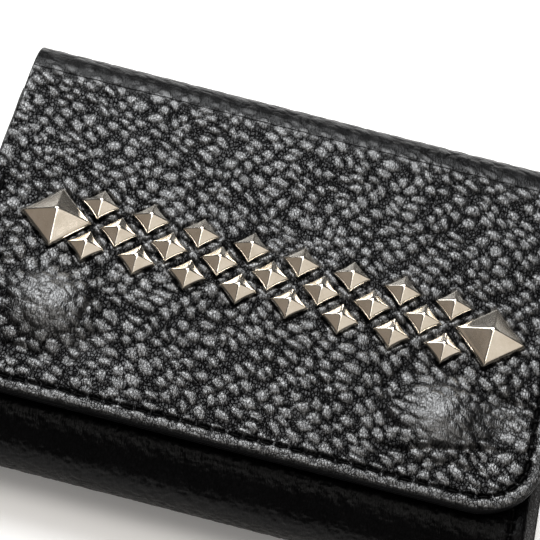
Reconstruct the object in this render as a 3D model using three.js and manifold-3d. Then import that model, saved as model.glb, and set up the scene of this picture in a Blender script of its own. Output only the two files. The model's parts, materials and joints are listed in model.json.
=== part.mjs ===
// A flap wallet in black leather with pyramid studs, lying on its back.
// Units are millimetres. X runs along the top fold, Y towards the fold, Z up from the table.
// The origin is on the table, under the centre of the stud pattern.
import * as THREE from "three";
import { mergeVertices } from "three/addons/utils/BufferGeometryUtils.js";
import Module from "manifold-3d";

const wasm = await Module();
wasm.setup();

// ---- driving dimensions -------------------------------------------------------------------
const THICKNESS = 22; // table to the outer face of the closed flap
const FLAP_HALF = 60.5; // half the flap's width
const COVER_HALF = 59.7; // half the width of the front and back panels
const SIDE_HALF = 61.8; // the painted side edges stand out this far
const INNER_HALF = 57.4; // half the width of the pockets between the side gussets
const FOLD_TOP = 48.2; // outermost y of the top fold
const FOLD_BOTTOM = -48.9; // outermost y of the bottom fold
const FLAP_END = -41.1; // free edge of the flap
const FLAP_CORNER = 13; // radius of the flap's free corners
const LEATHER = 1.5; // outer leather of the flap
const COVER = 1.6; // outer leather of the body
const LINING = 1.0; // lining of the flap and of the coin pocket's front
const SKIN = 0.7; // thin card pocket leather
const GLUE = 0.1; // gap left between layers
const HINGE_GAP = 0.15; // half the gap between two hinged strips
const FRONT_Z = 18.4; // outer face of the front panel
const MOUTH_Y = 36; // top edge of the front panel and gussets
const POCKET_FOOT = -38; // lower edge of the inner layers

const STUD_PITCH = 10.607; // distance of neighbouring small studs along a row
const METAL_TILT = -2; // degrees that the hand-set studs and snaps are turned against the flap
const SMALL_STUD = { side: 5, height: 1.9 };
const LARGE_STUD = { side: 10, height: 3.7, x: 45.2 };
const STUD_SKIRT = 0.3; // upright rim at the foot of a stud
const STUD_LIFT = 0.02; // studs sit on the leather with this gap

const SNAP = { x: 40, y: -21, capR: 6.5, bulgeR: 10, bulge: 1.9, socketR: 5, ballR: 1.9 };
const ROUND = 32; // segments of a turned piece

const tilt = THREE.MathUtils.degToRad(METAL_TILT);
const snapSpots = { left: -SNAP.x, right: SNAP.x };
for (const [name, x] of Object.entries(snapSpots)) {
  snapSpots[name] = new THREE.Vector2(x, SNAP.y).rotateAround(new THREE.Vector2(), tilt);
}

// ---- layers of the body, from the back panel to the front panel -------------------------------
const backLiningZ = [COVER + GLUE, COVER + GLUE + 0.9];
const dividerZ = [7.3, 8.2];
const cardZ = [0, 1, 2].map((i) => dividerZ[1] + GLUE + i * (SKIN + GLUE));
const coinBackZ = [cardZ[2] + SKIN + GLUE, cardZ[2] + SKIN + GLUE + 1];
const coinFrontZ = [FRONT_Z - COVER - GLUE - LINING, FRONT_Z - COVER - GLUE];
const liningUnder = THICKNESS - LEATHER - GLUE - LINING; // inner face of the flap
const foldDepth = LEATHER + GLUE + LINING; // leather and lining of the fold together

// ---- the top fold is half of a regular octagon round its centre --------------------------------
const foldSide = THICKNESS / (1 + Math.SQRT2);
const foldStep = foldSide * Math.SQRT1_2;
const foldStart = FOLD_TOP - foldStep;
const foldHinges = [
  [foldStart, 0],
  [FOLD_TOP, foldStep],
  [FOLD_TOP, foldStep + foldSide],
  [foldStart, THICKNESS],
];
const bevel = Math.tan(Math.PI / 8); // the hinged strips meet on the octagon's bisectors
const hingeInset = HINGE_GAP / Math.cos(Math.PI / 8);

// ---- zip and chain tab ----------------------------------------------------------------------------
const zipZ = (coinBackZ[1] + coinFrontZ[0]) / 2;
const ZIP = { half: 52, y: 33, tape: 0.6, teeth: 1.6, sliderX: -46, sliderLength: 8, pull: 7.6 };
const TAB = { y: 29.5, width: 14, thick: 1.4, rootX: 46, barX: 65.2, barZ: 4.25, boreR: 1.4 };
const RING = { wire: 1.15, halfWidth: 9, depth: 12, corner: 2.5, clearance: 0.1 };
const RIVET = { x: 51, shankR: 1.2, capR: 4, cap: 0.5 };

// ---- materials -----------------------------------------------------------------------------------------
const standard = (color, roughness, metalness) =>
  new THREE.MeshStandardMaterial({ color, roughness, metalness });
const leather = () => standard(0x16171a, 0.5, 0);
const lining = () => standard(0x24211f, 0.75, 0);
const edge = () => standard(0x0d0d0e, 0.4, 0);
const nickel = () => standard(0xd9c9b2, 0.25, 1);
const steel = () => standard(0x9c978e, 0.3, 1);
const tape = () => standard(0x131313, 0.9, 0);

// ---- geometry helpers ---------------------------------------------------------------------------------
const shapeOf = (points) => new THREE.Shape(points.map(([a, b]) => new THREE.Vector2(a, b)));

function arc(centreA, centreB, radius, from, to, steps) {
  const points = [];
  for (let i = 0; i <= steps; i++) {
    const angle = THREE.MathUtils.degToRad(from + ((to - from) * i) / steps);
    points.push([centreA + radius * Math.cos(angle), centreB + radius * Math.sin(angle)]);
  }
  return points;
}

// An outline in (y, z), drawn out along X.
function alongX(points, x0, x1) {
  const geometry = new THREE.ExtrudeGeometry(shapeOf(points), { depth: x1 - x0, bevelEnabled: false });
  const basis = new THREE.Matrix4().makeBasis(
    new THREE.Vector3(0, 1, 0), new THREE.Vector3(0, 0, 1), new THREE.Vector3(1, 0, 0));
  return geometry.applyMatrix4(basis).translate(x0, 0, 0);
}

// An outline in (x, z), drawn out along Y.
function alongY(points, y0, y1) {
  const geometry = new THREE.ExtrudeGeometry(shapeOf(points), { depth: y1 - y0, bevelEnabled: false });
  return geometry.rotateX(Math.PI / 2).translate(0, y1, 0);
}

// An outline in (x, y), drawn out along Z.
function alongZ(points, z0, z1) {
  const geometry = new THREE.ExtrudeGeometry(shapeOf(points), { depth: z1 - z0, bevelEnabled: false });
  return geometry.translate(0, 0, z0);
}

// A profile in (r, z), turned about a vertical axis at (x, y).
function turned(profile, x, y, segments = ROUND) {
  const points = profile.map(([r, z]) => new THREE.Vector2(r, z));
  return new THREE.LatheGeometry(points, segments).rotateX(Math.PI / 2).translate(x, y, 0);
}

function plate(halfX, [y0, y1], [z0, z1]) {
  return alongZ([[-halfX, y0], [halfX, y0], [halfX, y1], [-halfX, y1]], z0, z1);
}

function rod(r, z0, z1, x, y, segments = ROUND) {
  return turned([[0, z0], [r, z0], [r, z1], [0, z1]], x, y, segments);
}

function solid(geometry) {
  const bare = geometry.clone();
  bare.deleteAttribute("normal");
  bare.deleteAttribute("uv");
  const merged = mergeVertices(bare, 1e-4);
  return new wasm.Manifold(new wasm.Mesh({
    numProp: 3,
    vertProperties: new Float32Array(merged.attributes.position.array),
    triVerts: new Uint32Array(merged.index.array),
  }));
}

function geometryOf(manifold) {
  const mesh = manifold.getMesh();
  const geometry = new THREE.BufferGeometry();
  geometry.setAttribute("position", new THREE.BufferAttribute(new Float32Array(mesh.vertProperties), 3));
  geometry.setIndex(new THREE.BufferAttribute(new Uint32Array(mesh.triVerts), 1));
  return geometry;
}

function cut(base, ...tools) {
  return geometryOf(tools.reduce((body, tool) => body.subtract(solid(tool)), solid(base)));
}

function join(...pieces) {
  return geometryOf(pieces.map(solid).reduce((body, piece) => body.add(piece)));
}

function mesh(name, geometry, material) {
  const part = new THREE.Mesh(geometry, material);
  part.name = name;
  return part;
}

// ---- flap ------------------------------------------------------------------------------------------------
// Height of the leather over a snap cap at a distance r from its centre.
const bulgeAt = (r) => SNAP.bulge * 0.5 * (1 + Math.cos((Math.PI * Math.min(r, SNAP.bulgeR)) / SNAP.bulgeR));

// A dome that follows the bulge from its centre out to a radius, with a flat underside.
function dome(radius, drop, underside, { x, y }) {
  const rings = 8;
  const profile = [[0, underside], [radius, underside]];
  for (let i = rings; i >= 0; i--) {
    const r = (radius * i) / rings;
    profile.push([r, THICKNESS + bulgeAt(r) - drop]);
  }
  return turned(profile, x, y);
}

function flapOutline(inset) {
  const half = FLAP_HALF - inset;
  const end = FLAP_END + inset;
  const radius = FLAP_CORNER - inset;
  return [
    ...arc(-half + radius, end + radius, radius, 180, 270, 12),
    ...arc(half - radius, end + radius, radius, 270, 360, 12),
    [half, foldStart],
    [-half, foldStart],
  ];
}

// A layer of the flap between two depths below its outer face, bevelled at the fold.
function flapLayer(depth0, depth1, inset) {
  const slab = alongX([
    [FLAP_END, THICKNESS - depth1],
    [foldStart - hingeInset - depth1 * bevel, THICKNESS - depth1],
    [foldStart - hingeInset - depth0 * bevel, THICKNESS - depth0],
    [FLAP_END, THICKNESS - depth0],
  ], -FLAP_HALF, FLAP_HALF);
  const outline = alongZ(flapOutline(inset), 0, 2 * THICKNESS);
  return solid(slab).intersect(solid(outline));
}

function flapLeather() {
  const wall = 1.4;
  let layer = flapLayer(0, LEATHER, 0);
  const under = THICKNESS - LEATHER;
  for (const spot of Object.values(snapSpots)) {
    layer = layer.add(solid(dome(SNAP.bulgeR, 0, under + 0.2, spot)));
    layer = layer.subtract(solid(dome(SNAP.capR + 0.3, wall, under - 1, spot)));
  }
  return geometryOf(layer);
}

function flapLining() {
  let layer = flapLayer(LEATHER + GLUE, foldDepth, 0.2);
  for (const { x, y } of Object.values(snapSpots)) {
    layer = layer.subtract(solid(rod(SNAP.socketR + 0.3, liningUnder - 1, liningUnder + 3, x, y)));
  }
  return geometryOf(layer);
}

function stud({ side, height }) {
  const radius = side * Math.SQRT1_2;
  return turned([[0, 0], [radius, 0], [radius, STUD_SKIRT], [0, height]], 0, 0, 4);
}

function addStuds(flap) {
  const pattern = new THREE.Group();
  pattern.rotation.z = tilt;
  pattern.position.z = THICKNESS + STUD_LIFT;
  for (const [name, x] of [["stud_large_left", -LARGE_STUD.x], ["stud_large_right", LARGE_STUD.x]]) {
    const large = mesh(name, stud(LARGE_STUD), nickel());
    large.position.x = x;
    pattern.add(large);
  }
  const rows = [[8, 0.5], [7, 0], [8, -0.5]];
  let number = 1;
  for (const [count, row] of rows) {
    for (let i = 0; i < count; i++) {
      const small = mesh(`stud_small_${String(number).padStart(2, "0")}`, stud(SMALL_STUD), nickel());
      small.position.set((i - (count - 1) / 2) * STUD_PITCH, row * STUD_PITCH, 0);
      pattern.add(small);
      number += 1;
    }
  }
  flap.add(pattern);
}

function snapCap(spot) {
  return dome(SNAP.capR, 1.6, THICKNESS - LEATHER, spot);
}

function snapSocket({ x, y }) {
  const top = THICKNESS - LEATHER - GLUE;
  const bottom = liningUnder - 0.4;
  const bore = SNAP.ballR + 0.4;
  return turned([[bore, bottom], [SNAP.socketR, bottom], [SNAP.socketR, top], [bore, top], [bore, bottom]],
    x, y);
}

function addFlap(wallet) {
  const flap = new THREE.Group();
  flap.add(mesh("flap_leather", flapLeather(), leather()));
  flap.add(mesh("flap_lining", flapLining(), lining()));
  addStuds(flap);
  for (const [name, spot] of Object.entries(snapSpots)) {
    flap.add(mesh(`snap_cap_${name}`, snapCap(spot), steel()));
    flap.add(mesh(`snap_socket_${name}`, snapSocket(spot), steel()));
  }
  wallet.add(flap);
}

// ---- top fold ----------------------------------------------------------------------------------------------
function foldStrip(index) {
  const [y0, z0] = foldHinges[index];
  const [y1, z1] = foldHinges[index + 1];
  const along = [(y1 - y0) / foldSide, (z1 - z0) / foldSide];
  const inward = [-along[1], along[0]];
  const point = (s, depth) => [
    y0 + along[0] * s + inward[0] * depth,
    z0 + along[1] * s + inward[1] * depth,
  ];
  const shrink = hingeInset + foldDepth * bevel;
  return alongX([
    point(hingeInset, 0),
    point(foldSide - hingeInset, 0),
    point(foldSide - shrink, foldDepth),
    point(shrink, foldDepth),
  ], -FLAP_HALF, FLAP_HALF);
}

function addFold(wallet) {
  for (let index = 0; index < 3; index++) {
    wallet.add(mesh(`fold_strip_${index + 1}`, foldStrip(index), leather()));
  }
}

// ---- body ----------------------------------------------------------------------------------------------------
function cover() {
  const outerR = FRONT_Z / 2;
  const centreY = FOLD_BOTTOM + outerR;
  const profile = [
    [foldStart - hingeInset, 0],
    [foldStart - hingeInset - COVER * bevel, COVER],
    ...arc(centreY, outerR, outerR - COVER, 270, 90, 16),
    [MOUTH_Y, FRONT_Z - COVER],
    [MOUTH_Y, FRONT_Z],
    ...arc(centreY, outerR, outerR, 90, 270, 16),
  ];
  const shell = alongX(profile, -COVER_HALF, COVER_HALF);
  const holes = Object.values(snapSpots).map(({ x, y }) => rod(1.9, FRONT_Z - 4, FRONT_Z + 1, x, y));
  const rivetHole = rod(RIVET.shankR + 0.2, -1, 3, RIVET.x, TAB.y);
  const rivetSeat = rod(RIVET.capR + 0.3, -1, RIVET.cap + 0.3, RIVET.x, TAB.y);
  return cut(shell, ...holes, rivetHole, rivetSeat);
}

function backLining() {
  const end = foldStart - hingeInset - foldDepth * bevel;
  const sheet = plate(COVER_HALF - 0.2, [POCKET_FOOT, end], backLiningZ);
  return cut(sheet, rod(RIVET.shankR + 0.2, 0, 4, RIVET.x, TAB.y));
}

function coinFront() {
  const sheet = plate(COVER_HALF - 0.2, [POCKET_FOOT, MOUTH_Y], coinFrontZ);
  const holes = Object.values(snapSpots).map(({ x, y }) => rod(1.9, 14, 18, x, y));
  return cut(sheet, ...holes);
}

// A side gusset: a strip that follows the bottom fold, with room at the top for the chain tab.
function gusset(side) {
  const z0 = backLiningZ[1] + GLUE;
  const z1 = coinFrontZ[0] - GLUE;
  const radius = (z1 - z0) / 2;
  const centreY = FOLD_BOTTOM + FRONT_Z / 2;
  const foot = arc(centreY, z0 + radius, radius, 90, 270, 12);
  const notchY = TAB.y - TAB.width / 2 - 0.3;
  const notchZ = TAB.barZ + TAB.thick + 0.3;
  const top = side > 0 ? [[notchY, z0], [notchY, notchZ], [MOUTH_Y, notchZ]] : [[MOUTH_Y, z0]];
  const outline = [...foot, ...top, [MOUTH_Y, z1]];
  const x0 = INNER_HALF + 0.2;
  return side > 0 ? alongX(outline, x0, SIDE_HALF) : alongX(outline, -SIDE_HALF, -x0);
}

function snapStud({ x, y }) {
  const { ballR } = SNAP;
  const seat = FRONT_Z + 0.02;
  return turned([[0, seat], [4.6, seat], [4.6, seat + 0.35], [ballR - 0.3, seat + 0.4],
    [ballR, seat + 1.1], [ballR - 0.5, seat + 1.8], [0, seat + 1.8]], x, y);
}

function snapPost({ x, y }) {
  const under = coinFrontZ[0] - 0.02;
  return turned([[0, under - 0.5], [4.5, under - 0.5], [4.5, under], [1.6, under],
    [1.6, FRONT_Z - 0.1], [0, FRONT_Z - 0.1]], x, y);
}

function addBody(wallet) {
  wallet.add(mesh("cover_leather", cover(), leather()));
  wallet.add(mesh("back_lining", backLining(), lining()));
  wallet.add(mesh("bill_divider", plate(INNER_HALF, [POCKET_FOOT, MOUTH_Y - 1], dividerZ), leather()));
  cardZ.forEach((z, i) => {
    const top = MOUTH_Y - 5 - i * 4;
    wallet.add(mesh(`card_panel_${i + 1}`, plate(INNER_HALF, [POCKET_FOOT, top], [z, z + SKIN]), leather()));
  });
  wallet.add(mesh("coin_pocket_back", plate(INNER_HALF, [POCKET_FOOT, ZIP.y - 0.7], coinBackZ), leather()));
  wallet.add(mesh("coin_pocket_front", coinFront(), lining()));
  wallet.add(mesh("gusset_left", gusset(-1), edge()));
  wallet.add(mesh("gusset_right", gusset(1), edge()));
  for (const [name, spot] of Object.entries(snapSpots)) {
    wallet.add(mesh(`snap_stud_${name}`, snapStud(spot), steel()));
    wallet.add(mesh(`snap_post_${name}`, snapPost(spot), steel()));
  }
}

// ---- coin zip, in the mouth of the coin pocket -----------------------------------------------------------
function zipTape(side) {
  const wall = side < 0 ? coinBackZ[1] + GLUE : coinFrontZ[0] - GLUE;
  const toChain = -side;
  const lip = zipZ + side * (ZIP.teeth / 2 + GLUE);
  const inner = wall + toChain * 0.5;
  return alongX([
    [ZIP.y - 9, wall],
    [ZIP.y, wall],
    [ZIP.y, lip],
    [ZIP.y - ZIP.tape, lip],
    [ZIP.y - ZIP.tape, inner],
    [ZIP.y - 9, inner],
  ], -INNER_HALF + 1, INNER_HALF - 1);
}

function zipBar(x0, x1) {
  const half = ZIP.teeth / 2;
  const y = ZIP.y - ZIP.tape / 2;
  return alongX([[y - half, zipZ - half], [y + half, zipZ - half], [y + half, zipZ + half],
    [y - half, zipZ + half]], x0, x1);
}

// The slider's upper shell with its lips, and the bridge that the puller hangs in.
function zipSlider() {
  const top = ZIP.y + 0.9;
  const lipHalf = 1.9;
  const shell = alongX([
    [ZIP.y + 0.2, zipZ - lipHalf],
    [top + 0.9, zipZ - lipHalf],
    [top + 0.9, zipZ + lipHalf],
    [ZIP.y + 0.2, zipZ + lipHalf],
    [ZIP.y + 0.2, zipZ + lipHalf - 0.5],
    [top, zipZ + lipHalf - 0.5],
    [top, zipZ - lipHalf + 0.5],
    [ZIP.y + 0.2, zipZ - lipHalf + 0.5],
  ], ZIP.sliderX - ZIP.sliderLength / 2, ZIP.sliderX + ZIP.sliderLength / 2);
  const foot = top + 0.8;
  const bridge = alongZ([
    [ZIP.sliderX - 2.4, foot],
    [ZIP.sliderX - 1.2, foot],
    [ZIP.sliderX - 1.2, foot + 1.3],
    [ZIP.sliderX + 1.2, foot + 1.3],
    [ZIP.sliderX + 1.2, foot],
    [ZIP.sliderX + 2.4, foot],
    [ZIP.sliderX + 1.8, foot + 1.9],
    [ZIP.sliderX - 1.8, foot + 1.9],
  ], zipZ - 0.6, zipZ + 0.6);
  return join(shell, bridge);
}

const pullerY = ZIP.y + 0.9 + 0.8 + 0.72; // height of the puller's pin in the bridge

// The puller: a pin through the bridge, two arms and a tongue.
function zipPuller() {
  const pin = rod(0.45, zipZ - 1.8, zipZ + 1.8, ZIP.sliderX, pullerY, 12);
  const arms = [-1, 1].map((side) => {
    const near = zipZ + side * 1.1;
    const far = zipZ + side * 1.8;
    return alongZ([
      [ZIP.sliderX - 0.45, pullerY - 0.4],
      [ZIP.sliderX + 3.4, pullerY - 0.4],
      [ZIP.sliderX + 3.4, pullerY + 0.4],
      [ZIP.sliderX - 0.45, pullerY + 0.4],
    ], Math.min(near, far), Math.max(near, far));
  });
  const tongue = alongZ([
    [ZIP.sliderX + 3, pullerY - 0.4],
    [ZIP.sliderX + ZIP.pull, pullerY - 0.4],
    [ZIP.sliderX + ZIP.pull, pullerY + 0.4],
    [ZIP.sliderX + 3, pullerY + 0.4],
  ], zipZ - 1.8, zipZ + 1.8);
  return join(pin, ...arms, tongue);
}

function addZip(wallet) {
  wallet.add(mesh("zip_tape_back", zipTape(-1), tape()));
  wallet.add(mesh("zip_tape_front", zipTape(1), tape()));
  wallet.add(mesh("zip_chain", zipBar(-ZIP.half, ZIP.half), steel()));
  wallet.add(mesh("zip_stop_left", zipBar(-ZIP.half - 1.8, -ZIP.half - 0.3), steel()));
  wallet.add(mesh("zip_stop_right", zipBar(ZIP.half + 0.3, ZIP.half + 1.8), steel()));
  wallet.add(mesh("zip_slider", zipSlider(), steel()));
  wallet.add(mesh("zip_puller", zipPuller(), steel()));
}

// ---- chain attachment --------------------------------------------------------------------------------------
// A strap folded round the straight bar of the D-ring.
function chainTab() {
  const { barX, barZ, boreR, thick, rootX } = TAB;
  const slit = 0.05;
  const outerR = boreR + thick;
  const neckX = barX - outerR - 1.2;
  const outline = [
    [rootX, barZ - slit - thick],
    [neckX, barZ - slit - thick],
    ...arc(barX, barZ, outerR, -115, 115, 16),
    [neckX, barZ + slit + thick],
    [rootX, barZ + slit + thick],
    [rootX, barZ + slit],
    [neckX + 0.6, barZ + slit],
    ...arc(barX, barZ, boreR, 150, -150, 16),
    [neckX + 0.6, barZ - slit],
    [rootX, barZ - slit],
  ];
  const strap = alongY(outline, TAB.y - TAB.width / 2, TAB.y + TAB.width / 2);
  return cut(strap, rod(RIVET.shankR + 0.2, 0, 10, RIVET.x, TAB.y));
}

function tabRivet() {
  const { shankR, capR, cap } = RIVET;
  const bottom = 0.1;
  const seat = TAB.barZ + TAB.thick + 0.1;
  return turned([[0, bottom], [capR, bottom], [capR, bottom + cap], [shankR, bottom + cap],
    [shankR, seat], [capR, seat], [capR - 0.6, seat + cap + 0.3], [0, seat + cap + 0.5]], RIVET.x, TAB.y);
}

// Centre line of the D: a straight bar on Y and a half circle, joined by round corners.
function ringLine() {
  const { halfWidth, depth, corner } = RING;
  const bend = [
    ...arc(corner, -halfWidth + corner, corner, 180, 270, 4),
    ...arc(depth - halfWidth, 0, halfWidth, -90, 90, 20),
    ...arc(corner, halfWidth - corner, corner, 90, 180, 4),
  ];
  const bar = [-1, 0, 1].map((step) => [0, (-step * (halfWidth - corner)) / 2]);
  return new THREE.CatmullRomCurve3([...bend, ...bar].map(([x, y]) => new THREE.Vector3(x, y, 0)), true,
    "centripetal");
}

function ringGeometry() {
  const drop = TAB.barZ - RING.wire - RING.clearance;
  const geometry = new THREE.TubeGeometry(ringLine(), 60, RING.wire, 10, true);
  geometry.rotateY(Math.asin(drop / RING.depth));
  return geometry.translate(TAB.barX, TAB.y, TAB.barZ);
}

function addChainAttachment(wallet) {
  wallet.add(mesh("chain_tab", chainTab(), leather()));
  wallet.add(mesh("tab_rivet", tabRivet(), nickel()));
  wallet.add(mesh("d_ring", ringGeometry(), nickel()));
}

const wallet = new THREE.Group();
addFlap(wallet);
addFold(wallet);
addBody(wallet);
addZip(wallet);
addChainAttachment(wallet);

export default wallet;
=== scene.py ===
"""A black shrink-grain leather flap wallet with pyramid studs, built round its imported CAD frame.

All shapes are worked out in millimetres and turned into metres when a mesh is made.
The outer leather is one hide: v runs from the flap's free edge over the top fold, down the back,
round the bottom fold and up the front panel, and u runs across it.
"""

import json
import math

import bpy
import numpy as np
from mathutils import Matrix, Vector


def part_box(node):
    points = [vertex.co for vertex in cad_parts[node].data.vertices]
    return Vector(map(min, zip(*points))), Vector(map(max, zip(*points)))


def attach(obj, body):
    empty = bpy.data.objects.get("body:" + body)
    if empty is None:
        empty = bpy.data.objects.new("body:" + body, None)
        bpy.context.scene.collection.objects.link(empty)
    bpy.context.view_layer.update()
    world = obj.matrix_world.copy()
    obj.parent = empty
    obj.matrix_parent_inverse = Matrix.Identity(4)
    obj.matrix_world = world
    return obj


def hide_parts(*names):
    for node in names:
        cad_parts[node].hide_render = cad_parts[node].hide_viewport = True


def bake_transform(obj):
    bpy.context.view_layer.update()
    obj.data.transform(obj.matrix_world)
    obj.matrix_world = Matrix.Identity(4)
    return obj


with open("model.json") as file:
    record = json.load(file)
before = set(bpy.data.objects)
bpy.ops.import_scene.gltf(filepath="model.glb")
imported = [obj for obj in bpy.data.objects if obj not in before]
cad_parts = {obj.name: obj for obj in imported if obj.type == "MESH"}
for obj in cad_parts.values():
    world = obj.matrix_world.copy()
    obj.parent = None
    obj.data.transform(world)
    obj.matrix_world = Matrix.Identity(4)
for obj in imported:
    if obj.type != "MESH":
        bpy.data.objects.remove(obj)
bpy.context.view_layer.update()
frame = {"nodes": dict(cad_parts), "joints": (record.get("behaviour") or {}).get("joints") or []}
MM = 0.001
SCENE = bpy.context.scene


def box_mm(node):
    """The low and high corners of a CAD node, in millimetres."""
    low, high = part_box(node)
    return np.array(low) / MM, np.array(high) / MM


def centre_mm(node):
    low, high = box_mm(node)
    return (low + high) / 2


# ---- sizes read from the frame -------------------------------------
FLAP_LOW, FLAP_HIGH = box_mm("flap_leather")
COVER_LOW, COVER_HIGH = box_mm("cover_leather")
LINING_LOW, LINING_HIGH = box_mm("flap_lining")
GUSSET_LOW, GUSSET_HIGH = box_mm("gusset_left")
JOINT = {joint["name"]: joint for joint in frame["joints"]}
THICK = JOINT["fold_bend_4"]["pos_m"][2] / MM
FLAP_HALF = FLAP_HIGH[0]
FLAP_SHORTER = 0.8  # the flap's free edge ends this much sooner than its solid
FLAP_END = FLAP_LOW[1] + FLAP_SHORTER
FLAP_UNDER = FLAP_LOW[2]
FOLD_R = THICK / 2
FOLD_FURTHER = 0.7  # the top fold stands out this much further than its solids
FOLD_Y = box_mm("fold_strip_2")[1][1] - FOLD_R + FOLD_FURTHER
FRONT_R = COVER_HIGH[2] / 2
FRONT_Y = COVER_LOW[1] + FRONT_R
COVER_HALF = COVER_HIGH[0]
MOUTH_Y = GUSSET_HIGH[1]
LARGE = ["stud_large_left", "stud_large_right"]
SMALL = sorted(name for name in frame["nodes"] if name.startswith("stud_small"))
# How far a large stud sits from its place in the row, and how far it is turned, in degrees.
SET_BY_HAND = {
    "stud_large_left": (0.42, -0.58, 5.5),
    "stud_large_right": (0.6, 0.16, 0.0),
}
SMALL_TURN = 3.0  # the same for all small studs, in degrees
STUD_FOOT = 0.45  # how far a stud reaches into the leather
# How the studs are pressed and set. Side and height are shares of the solid's.
LARGE_FORM = {
    "side": 1.04, "height": 0.9, "lip": 0.4, "waist": 0.02, "flare": 0.03, "ridge": 0.05, "steps": 32,
    "sink": 0.0, "tilt": 0.008,
}
SMALL_FORM = {
    "side": 1.1, "height": 1.0, "lip": 0.3, "waist": 0.075, "flare": 0.045, "ridge": 0.1, "steps": 16,
    "sink": 0.08, "tilt": 0.018,
}
STUD_LINE = centre_mm(LARGE[1]) - centre_mm(LARGE[0])
STUD_TURN = math.atan2(STUD_LINE[1], STUD_LINE[0]) + math.pi / 4
SNAPS = [centre_mm("snap_cap_left"), centre_mm("snap_cap_right")]

# ---- sizes of the leatherwork --------------------------------------
FLAP_CORNER = 13.0
COVER_LEATHER = 1.6
FOLD_LEATHER = THICK - LINING_LOW[2]
PEBBLE = 3.2  # spacing of the grain's pebbles
PEBBLE_LONG = 1.12 * PEBBLE
PEBBLE_WIDE = 0.84 * PEBBLE
GRAIN_DEPTH = 0.55
GRAIN_TURN = math.radians(-36)  # the pebbles' long way
STITCH_PITCH = 3.05
STITCH_INSET = 2.9
STITCH_TOP = 9.0  # the flap's stitching ends at this y
THREAD_R = 0.2
BEAD_SIDES = 8
BEAD_RINGS = 7
EDGE_ROLL = 0.28
EDGE_CALM = 0.65  # how much of the grain is rubbed away along the edges
BULGE = 2.2  # how far the snaps push the flap out
BULGE_R = 11.5
SMOOTH_R = 7.5  # the leather over a snap is stretched smooth up to here
SKIN_STEP = 0.25  # spacing of the points of the flap's and the fold's mesh
HAIR = 1e-6  # keeps a value just inside its range

# Creases round the snaps: start, end, depth and half width, all in millimetres.
CREASES = [
    ((27.0, -31.8), (44.5, -28.6), 0.36, 0.55),
    ((42.5, -29.0), (54.5, -24.6), 0.32, 0.5),
    ((37.0, -32.6), (50.0, -32.4), 0.22, 0.5),
    ((26.0, -15.5), (31.0, -27.0), 0.26, 0.7),
    ((30.5, -11.5), (37.0, -15.0), 0.26, 0.6),
    ((47.5, -14.5), (57.5, -15.5), 0.36, 0.9),
    ((50.5, -9.0), (53.5, -20.0), 0.24, 0.7),
    ((-33.8, -7.5), (-33.0, -22.5), 0.42, 0.7),
    ((-50.0, -31.0), (-30.0, -30.0), 0.30, 0.6),
    ((-30.0, -14.0), (-25.5, -25.0), 0.24, 0.7),
    ((-56.5, -12.5), (-48.0, -10.5), 0.34, 0.8),
    ((-52.0, -30.0), (-57.0, -20.0), 0.26, 0.8),
]

# Slack places beside the bulges: centre, radius and depth, all in millimetres.
HOLLOWS = [((51.5, -19.5), 5.5, 0.55), ((-30.5, -27.0), 4.5, 0.3)]

# ---- the flap's round corners and its seam round them --------------
CORNER_X = FLAP_HALF - FLAP_CORNER
CORNER_Y = FLAP_END + FLAP_CORNER
SEAM_R = FLAP_CORNER - STITCH_INSET
SEAM_QUARTER = SEAM_R * math.pi / 2
STITCH_HALF = CORNER_X + SEAM_QUARTER + STITCH_TOP - CORNER_Y

# ---- where v turns into the back, the bottom fold and the front ----
V_FOLD = FOLD_Y
V_BACK = V_FOLD + math.pi * FOLD_R
V_BOTTOM = V_BACK + FOLD_Y - FRONT_Y
V_FRONT = V_BOTTOM + math.pi * FRONT_R
V_MOUTH = V_FRONT + MOUTH_Y - FRONT_Y


# ---- noise ---------------------------------------------------------
class Noise:
    """Smooth gradient noise and cell distances on a plane, the same each run."""

    def __init__(self, seed):
        rng = np.random.default_rng(seed)
        self.order = rng.permutation(256)
        turn = rng.random(256) * 2 * np.pi
        self.gradient = np.stack([np.cos(turn), np.sin(turn)])
        self.offset = rng.random((2, 256))
        self.value = rng.random(256)

    def pick(self, i, j):
        return self.order[(self.order[i & 255] + j) & 255]

    def smooth(self, u, v):
        i = np.floor(u).astype(int)
        j = np.floor(v).astype(int)
        fu, fv = u - i, v - j

        def corner(di, dj):
            gradient = self.gradient[:, self.pick(i + di, j + dj)]
            return gradient[0] * (fu - di) + gradient[1] * (fv - dj)

        su = fu * fu * fu * (fu * (fu * 6 - 15) + 10)
        sv = fv * fv * fv * (fv * (fv * 6 - 15) + 10)
        low = corner(0, 0) * (1 - su) + corner(1, 0) * su
        high = corner(0, 1) * (1 - su) + corner(1, 1) * su
        return 1.5 * (low * (1 - sv) + high * sv)

    def cells(self, u, v, jitter=0.85):
        """Distances to the nearest and second nearest seed, and a random value of the nearest."""
        i = np.floor(u).astype(int)
        j = np.floor(v).astype(int)
        first = np.full(u.shape, 9.0)
        second = np.full(u.shape, 9.0)
        value = np.zeros(u.shape)
        for di in (-1, 0, 1):
            for dj in (-1, 0, 1):
                key = self.pick(i + di, j + dj)
                du = i + di + 0.5 + jitter * (self.offset[0, key] - 0.5) - u
                dv = j + dj + 0.5 + jitter * (self.offset[1, key] - 0.5) - v
                distance = np.hypot(du, dv)
                nearer = distance < first
                second = np.where(nearer, first, np.minimum(second, distance))
                value = np.where(nearer, self.value[key], value)
                first = np.where(nearer, distance, first)
        return first, second, value


WARP_A, WARP_B, PEBBLES, WRINKLES, SWELL, FINE = (Noise(seed) for seed in (3, 5, 11, 23, 31, 47))


def ramp(value, low, high):
    """0 below low, 1 above high and a smooth step between."""
    t = np.clip((value - low) / (high - low), 0, 1)
    return t * t * (3 - 2 * t)


def hill(x, width, power=2):
    """1 where x is 0, falling to 0 within a few widths."""
    return np.exp(-((x / width) ** power))


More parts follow.
